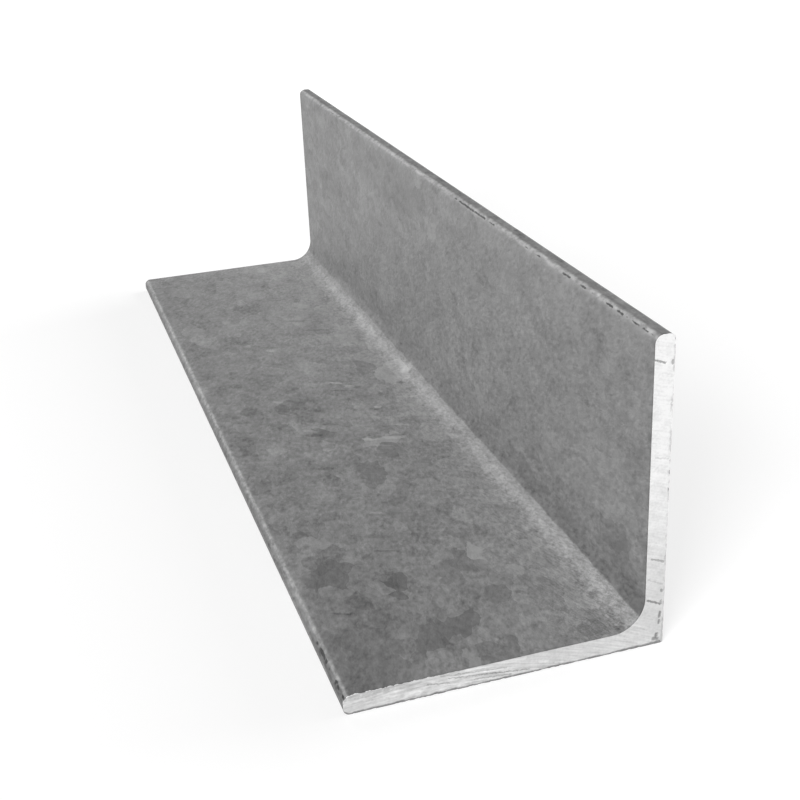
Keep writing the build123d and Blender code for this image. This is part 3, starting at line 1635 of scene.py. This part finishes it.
@dataclass(frozen=True)
class Relief:
    """How the real surface strays from the plain section, by a few tenths of a millimetre."""

    on_cut: float = 0.01 * MM
    off_cut_span: Pair = (0.0, 1.0 * MM)
    inner_span: Pair = (0.9, 1.0)
    swell: float = 9 * MM
    swell_depth: float = 0.06 * MM
    ripple_width: float = 1.6 * MM
    ripple_length: float = 6.0 * MM
    ripple_span: Pair = (6.5 * MM, 2.0 * MM)
    ripple_depth: float = 0.16 * MM
    fleck_depth: float = 0.30 * MM
    score_span: Pair = (0.45, 0.75)
    score_depth: float = 0.05 * MM
    mark_depth: float = 0.22 * MM
    crumb: float = 1.3 * MM
    crumb_span: Pair = (0.50, 0.68)
    crumble_depth: float = 0.22 * MM
    outer_span: Pair = (0.1, 0.0)
    tip_span: Pair = (0.0, 0.8 * MM)
    lip_height: float = 0.15 * MM
    lip_out_span: Pair = (36 * MM, 56 * MM)
    lip_toe_span: Pair = (0.5 * MM, 0.0)
    lip_cut_span: Pair = (0.8 * MM, 0.1 * MM)

    def offset(
        self, at: SkinPoint, zinc: HotDipZinc, steel: SawnSteel, seed: Field
    ) -> bpy.types.NodeSocket:
        """Works out how the real surface strays from the plain section.

        Args:
            at: The point of the surface.
            zinc: The skin.
            steel: The cuts.
            seed: Where in the random patterns the bar lies.

        Returns:
            How far each point moves.
        """
        writer = at.writer
        place = writer.point(at.x + seed, at.y, at.z)
        inner = at.layer.rise(*self.inner_span)
        on_cut = 1.0 - at.from_cut.over(self.on_cut)

        # The zinc lies unevenly, and gathers in the root
        swell = writer.noise(place, self.swell) * self.swell_depth
        ripple_at = writer.point(at.over / self.ripple_width, at.along / self.ripple_length, seed)
        root = at.off_root.rise(*self.ripple_span) * inner
        ripple = writer.noise(ripple_at, detail=3.0) * root * self.ripple_depth
        flecks = zinc.toes.flecks(at) * self.fleck_depth

        # The cut: fine scores everywhere, deep ones on both legs, and crumbs off the outer rim
        scores = steel.scores(at).rise(*self.score_span) * self.score_depth
        deep = steel.deep_marks(at) * self.mark_depth
        tip = (at.off_root - at.section.toe_middle).rise(*self.tip_span)
        outer = at.layer.rise(*self.outer_span).at_least(tip)
        crumbs = writer.noise(place, self.crumb, detail=3.0).rise(*self.crumb_span) * outer

        depth = (swell + ripple) * at.from_cut.rise(*self.off_cut_span) + flecks
        depth = depth + (scores + deep + crumbs * self.crumble_depth) * on_cut
        normal = writer.add("GeometryNodeInputNormal", {}).outputs["Normal"]
        raised = writer.point(0.0, 0.0, self.lip(at, steel) * inner)
        return writer.vector("ADD", writer.scaled(normal, -depth), raised)

    def lip(self, at: SkinPoint, steel: SawnSteel) -> Field:
        """Raises the ragged lip that the blade pushed up over the base leg's inner edge.

        Args:
            at: The point of the surface.
            steel: The cuts.

        Returns:
            How high the lip stands, in metres.
        """
        to_toe = (at.off_root - at.section.toe_start).rise(*self.lip_toe_span)
        to_cut = at.from_cut.rise(*self.lip_cut_span)
        outer_part = (-at.over).rise(*self.lip_out_span)
        return steel.tears(at) * outer_part * to_toe * to_cut * self.lip_height


@dataclass
class RolledBar:
    """The whole bar: one rolled length, skinned with zinc and sawn at both ends."""

    section: AngleSection
    steel: SawnSteel
    zinc: HotDipZinc
    relief: Relief = Relief()
    body_cells: CellCounts = CellCounts(root_cells=12, leg_cells=28, toe_cells=8, layers=4, rows=320)
    end_cells: CellCounts = CellCounts(root_cells=24, leg_cells=220, toe_cells=12, layers=16, rows=8)
    heel_part: float = 1 / 6
    end_zone: float = 4 * MM
    end_grading: float = 1.5
    row_tolerance: float = 0.001
    weld_distance: float = 0.002 * MM
    crease_angle: float = 0.7
    seed: int = 7

    PLACING: ClassVar[tuple[str, ...]] = ("side", "start", "span", "grading", "open_start")
    MET_COUNTS: ClassVar[tuple[str, ...]] = ("root_cells", "leg_cells", "toe_cells", "layers")

    def stretch_recipe(self) -> bpy.types.NodeTree:
        """Writes the group that bends a block of cells into one stretch of the angle.

        Across the block, the columns run from the base leg's toe to the heel and up to the upright
        leg's toe, and its layers run from the outer face to the inner one.

        Returns:
            The group, whose last row meets a stretch with other counts point for point.
        """
        recipe = GeometryRecipe("Stretch of angle")
        section = AngleSection(*(recipe.input(input_name(size)) for size in asdict(self.section)))
        side, start, span, grading, open_start = (
            recipe.input(input_name(name)) for name in self.PLACING
        )
        heel_part = recipe.input(input_name("heel_part"))
        root, leg, toe, layers, rows = (
            recipe.input(input_name(count), recipe.COUNT) for count in asdict(self.body_cells)
        )
        met_root, met_leg, met_toe, met_layers = (
            recipe.input(input_name(f"met_{count}"), recipe.COUNT) for count in self.MET_COUNTS
        )

        columns = root + leg + toe
        block = recipe.add(
            "GeometryNodeMeshCube",
            {"Vertices X": columns * 2 + 1, "Vertices Y": rows + 1, "Vertices Z": layers + 1},
        )
        x, y, z = recipe.split(recipe.add("GeometryNodeInputPosition", {}).outputs["Position"])
        row_share = 0.5 - y * side
        joint = row_share.over(1.0 - self.row_tolerance)
        first_row = 1.0 - row_share.over(self.row_tolerance)
        column = abs(x) * columns * 2

        def met(share: Field, count: Field) -> Field:
            """Returns a share that, at the joint, is moved to the nearest point of the next stretch."""
            return share.towards((share * count).rounded() / count, joint)

        root_share = met((column / root).share(), met_root)
        share = ProfileShare(
            upright=x.over(0.0),
            layer=met(z + 0.5, met_layers),
            root=root_share,
            flat=met(((column - root) / leg).share(), met_leg),
            toe=met(((column - root - leg) / toe).share(), met_toe),
            heel=(root_share / heel_part).share(),
            heel_run=((root_share - heel_part) / (1.0 - heel_part)).share(),
        )
        leg_along, leg_in = share.bent(section)
        across = section.heel_x - leg_along.towards(leg_in, share.upright)
        rise = leg_in.towards(leg_along, share.upright)
        lengthways = side * (section.length * 0.5 - start - span * row_share**grading)

        # The skin's own coordinates: over the legs from the root, along the bar, through the steel
        over = share.over_skin(section) * x.sign()
        skin = recipe.point(over, lengthways, share.layer * section.thickness)
        mesh = recipe.store(block.outputs["Mesh"], "skin", skin, "FLOAT_VECTOR", "POINT")
        mesh = recipe.store(mesh, "sawn", first_row, "FLOAT", "FACE")
        inside = {"Geometry": mesh, "Selection": joint.at_least(first_row * open_start)}
        opened = recipe.add("GeometryNodeDeleteGeometry", inside, domain="FACE")
        place = {"Position": recipe.point(across, lengthways, rise)}
        recipe.finish(recipe.then("GeometryNodeSetPosition", opened, place).outputs["Geometry"])
        return recipe.tree

    def bar_recipe(self) -> GeometryRecipe:
        """Writes the group that makes the whole bar.

        Returns:
            The recipe, with its named inputs.
        """
        recipe = GeometryRecipe("Rolled angle bar")
        sizes = {size: recipe.input(input_name(size)) for size in (*asdict(self.section), "heel_part")}
        end_zone, grading, weld = (
            recipe.input(name) for name in ("End Zone", "End Grading", "Weld Distance")
        )
        seed = recipe.input("Seed", recipe.COUNT)
        stretch = self.stretch_recipe()
        met = {f"met_{count}": getattr(self.body_cells, count) for count in self.MET_COUNTS}

        def lay(cells: CellCounts, **placing: object) -> bpy.types.NodeSocket:
            """Lays one stretch of the bar.

            Args:
                cells: How finely it is divided.
                placing: Where it starts and how far and which way it runs, by the stretch's inputs.

            Returns:
                The stretch.
            """
            node = recipe.tree.nodes.new("GeometryNodeGroup")
            node.node_tree = stretch
            for name, value in {**sizes, **asdict(cells), **met, **placing}.items():
                recipe.feed(node.inputs[input_name(name)], value)
            return node.outputs["Geometry"]

        middle = sizes["length"] - end_zone * 2
        stretches = [
            lay(self.end_cells, side=-1.0, start=0.0, span=end_zone, grading=grading, open_start=0.0),
            lay(self.body_cells, side=1.0, start=end_zone, span=middle, grading=1.0, open_start=1.0),
            lay(self.end_cells, side=1.0, start=0.0, span=end_zone, grading=grading, open_start=0.0),
        ]
        joined = recipe.add("GeometryNodeJoinGeometry", {})
        for part in stretches:
            recipe.tree.links.new(part, joined.inputs["Geometry"])

        welded = recipe.then("GeometryNodeMergeByDistance", joined, {"Distance": weld})
        position = recipe.add("GeometryNodeInputPosition", {}).outputs["Position"]
        at = SkinPoint(recipe, self.section, position, recipe.attribute("skin"))
        offset = self.relief.offset(at, self.zinc, self.steel, seed)
        shaped = recipe.then("GeometryNodeSetPosition", welded, {"Offset": offset})
        recipe.finish(self.dressed(recipe, shaped).outputs["Geometry"])
        return recipe

    @staticmethod
    def dressed(recipe: GeometryRecipe, shaped: bpy.types.Node) -> bpy.types.Node:
        """Shades the bar smooth between its creases, and gives its skin and its cuts their finishes.

        Args:
            recipe: The tree to write into.
            shaped: The node that gives the shaped bar.

        Returns:
            The node that gives the finished bar.
        """
        crease = recipe.input("Crease Angle")
        zinc, steel = (recipe.input(name, recipe.MATERIAL) for name in ("Zinc", "Steel"))
        angle = Field(recipe, recipe.add("GeometryNodeInputMeshEdgeAngle", {}).outputs["Unsigned Angle"])
        sharp = {"Selection": angle.over(crease), "Shade Smooth": False}
        smooth = recipe.then("GeometryNodeSetShadeSmooth", shaped, {}, domain="FACE")
        creased = recipe.then("GeometryNodeSetShadeSmooth", smooth, sharp, domain="EDGE")

        real = recipe.then("GeometryNodeRealizeInstances", creased, {})
        skinned = recipe.then("GeometryNodeSetMaterial", real, {"Material": zinc})
        sawn = Field(recipe, recipe.attribute("sawn", "FLOAT")).over(0.5)
        return recipe.then("GeometryNodeSetMaterial", skinned, {"Selection": sawn, "Material": steel})

    def build(self) -> bpy.types.Object:
        """Makes the bar as one plain mesh and hands it to the frame.

        Returns:
            The finished piece.
        """
        recipe = self.bar_recipe()
        maker = bpy.data.objects.new("bar_maker", bpy.data.meshes.new("bar_maker"))
        bpy.context.scene.collection.objects.link(maker)
        modifier = maker.modifiers.new("Rolled angle bar", "NODES")
        modifier.node_group = recipe.tree
        values = {
            **asdict(self.section),
            "heel_part": self.heel_part,
            "end_zone": self.end_zone,
            "end_grading": self.end_grading,
            "weld_distance": self.weld_distance,
            "crease_angle": self.crease_angle,
            "seed": self.seed,
            "zinc": self.zinc.material(self.section, self.steel),
            "steel": self.steel.material(self.section),
        }
        for name, value in values.items():
            modifier[recipe.identifiers[input_name(name)]] = value

        seen = maker.evaluated_get(bpy.context.evaluated_depsgraph_get())
        mesh = bpy.data.meshes.new_from_object(seen)
        mesh.name = "galvanised_angle_bar"
        bar = bpy.data.objects.new("galvanised_angle_bar", mesh)
        bpy.context.scene.collection.objects.link(bar)
        maker.modifiers.remove(modifier)
        bpy.data.objects.remove(maker)

        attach(bar, BAR_BODY)
        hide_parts(BAR_NODE)
        return bar


# ---------------------------------------------------------------------------------------------
# The studio
# ---------------------------------------------------------------------------------------------


class LampRole(Enum):
    """What each soft lamp is there for."""

    KEY = "key"
    FILL = "fill"
    KICK = "kick"
    SIDE = "side"


@dataclass(frozen=True)
class SoftLamp:
    """A square soft box that faces the bar."""

    role: LampRole
    place: Triple
    width: float
    power: float
    aim: Triple = (0.0, 0.0, 0.03)

    def build(self) -> bpy.types.Object:
        """Hangs the lamp in its place and turns it to its aim.

        Returns:
            The lamp.
        """
        light = bpy.data.lights.new(f"{self.role.value}_softbox", "AREA")
        light.shape = "SQUARE"
        light.size = self.width
        light.energy = self.power
        lamp = bpy.data.objects.new(light.name, light)
        lamp.location = self.place
        lamp.rotation_euler = (Vector(self.aim) - Vector(self.place)).to_track_quat("-Z", "Y").to_euler()
        bpy.context.scene.collection.objects.link(lamp)
        return lamp


@dataclass(frozen=True)
class Viewpoint:
    """Where the camera stands and how it is turned."""

    place: Triple = (-0.0911, -0.3792, 0.1756)
    yaw: float = math.radians(16.88)
    pitch: float = math.radians(23.73)
    roll: float = math.radians(-2.57)
    lens: float = 59.4
    sensor: float = 36.0

    def build(self) -> bpy.types.Object:
        """Sets up the camera, which looks along +Y, turned by yaw towards +X and by pitch down.

        Returns:
            The camera.
        """
        data = bpy.data.cameras.new("camera")
        data.lens = self.lens
        data.sensor_width = self.sensor
        camera = bpy.data.objects.new("camera", data)
        ahead = Vector(
            (
                math.sin(self.yaw) * math.cos(self.pitch),
                math.cos(self.yaw) * math.cos(self.pitch),
                -math.sin(self.pitch),
            )
        )
        level = Vector((math.cos(self.yaw), -math.sin(self.yaw), 0.0))
        up = level.cross(ahead)
        right = math.cos(self.roll) * level + math.sin(self.roll) * up
        top = math.cos(self.roll) * up - math.sin(self.roll) * level
        turn = Matrix((right, top, -ahead)).transposed().to_4x4()
        camera.matrix_world = Matrix.Translation(self.place) @ turn
        bpy.context.scene.collection.objects.link(camera)
        bpy.context.scene.camera = camera
        return camera


@dataclass(frozen=True)
class Studio:
    """A plain white room with soft lamps and a floor that keeps the bar's shadow."""

    floor_size: float = 12.0
    floor_lightness: float = 0.45
    floor_glow: float = 0.60
    clear_span: Pair = (0.35, 0.90)
    ambient: float = 0.25
    lamps: tuple[SoftLamp, ...] = (
        SoftLamp(LampRole.KEY, (-1.6, -1.7, 1.3), 1.0, 54.0),
        SoftLamp(LampRole.FILL, (-2.4, 0.6, 0.6), 1.0, 9.5),
        SoftLamp(LampRole.KICK, (-0.8, 2.0, 1.4), 1.0, 8.5),
        SoftLamp(LampRole.SIDE, (2.2, 0.2, 1.3), 1.0, 40.0),
    )

    @staticmethod
    def seen_directly(writer: TreeWriter) -> Field:
        """Tells direct looks at a surface from the soft light that it gives.

        Args:
            writer: The tree to write into.

        Returns:
            1 where the camera, a reflection or glass looks at the surface, and 0 for soft light.
        """
        path = writer.add("ShaderNodeLightPath", {}).outputs
        seen = Field(writer, path["Is Camera Ray"]) + Field(writer, path["Is Glossy Ray"])
        return (seen + Field(writer, path["Is Transmission Ray"])).share()

    def build_world(self) -> None:
        """Sets a world that looks white and lights the bar softly."""
        world = bpy.data.worlds.new("studio")
        world.use_nodes = True
        bpy.context.scene.world = world
        writer = TreeWriter(world.node_tree)
        background = world.node_tree.nodes["Background"]
        background.inputs["Color"].default_value = (1.0, 1.0, 1.0, 1.0)
        seen = self.seen_directly(writer)
        writer.feed(background.inputs["Strength"], seen.from_least(self.ambient))

    def build_floor(self) -> bpy.types.Object:
        """Lays the floor, white where it is lit and grey in the bar's shadow.

        Returns:
            The floor.
        """
        half = self.floor_size / 2
        mesh = bpy.data.meshes.new("floor")
        corners = [(-half, -half, 0.0), (half, -half, 0.0), (half, half, 0.0), (-half, half, 0.0)]
        mesh.from_pydata(corners, [], [(0, 1, 2, 3)])
        floor = bpy.data.objects.new("floor", mesh)
        bpy.context.scene.collection.objects.link(floor)

        material = bpy.data.materials.new("white_floor")
        material.use_nodes = True
        writer = TreeWriter(material.node_tree)
        material.node_tree.nodes.clear()
        paint = writer.add("ShaderNodeBsdfDiffuse", {"Color": (self.floor_lightness,) * 3 + (1.0,)})
        place = writer.add("ShaderNodeTexCoord", {}).outputs["Object"]
        clear = writer.measure("LENGTH", place).rise(*self.clear_span).from_least(self.floor_glow)
        glow = writer.add("ShaderNodeEmission", {"Strength": self.seen_directly(writer) * clear})
        both = writer.add("ShaderNodeAddShader", {0: paint.outputs["BSDF"], 1: glow.outputs["Emission"]})
        out = material.node_tree.nodes.new("ShaderNodeOutputMaterial")
        writer.feed(out.inputs["Surface"], both.outputs["Shader"])
        mesh.materials.append(material)
        return floor

    def build(self) -> None:
        """Sets up the room, its lamps and how the picture is shown."""
        bpy.context.scene.view_settings.view_transform = "Standard"
        self.build_world()
        self.build_floor()
        for lamp in self.lamps:
            lamp.build()
            log.info("lamp %s", lamp.role.value)


# ---------------------------------------------------------------------------------------------
# Putting it together
# ---------------------------------------------------------------------------------------------


def main() -> None:
    """Builds the bar, the studio and the camera in order."""
    logging.basicConfig(level=logging.INFO, format="%(name)s: %(message)s")
    section = AngleSection.from_model(BAR_NODE)
    bar = RolledBar(section, SawnSteel(), HotDipZinc()).build()
    log.info("%s: %d faces", bar.name, len(bar.data.polygons))
    Studio().build()
    Viewpoint().build()


if __name__ == "__main__":
    main()
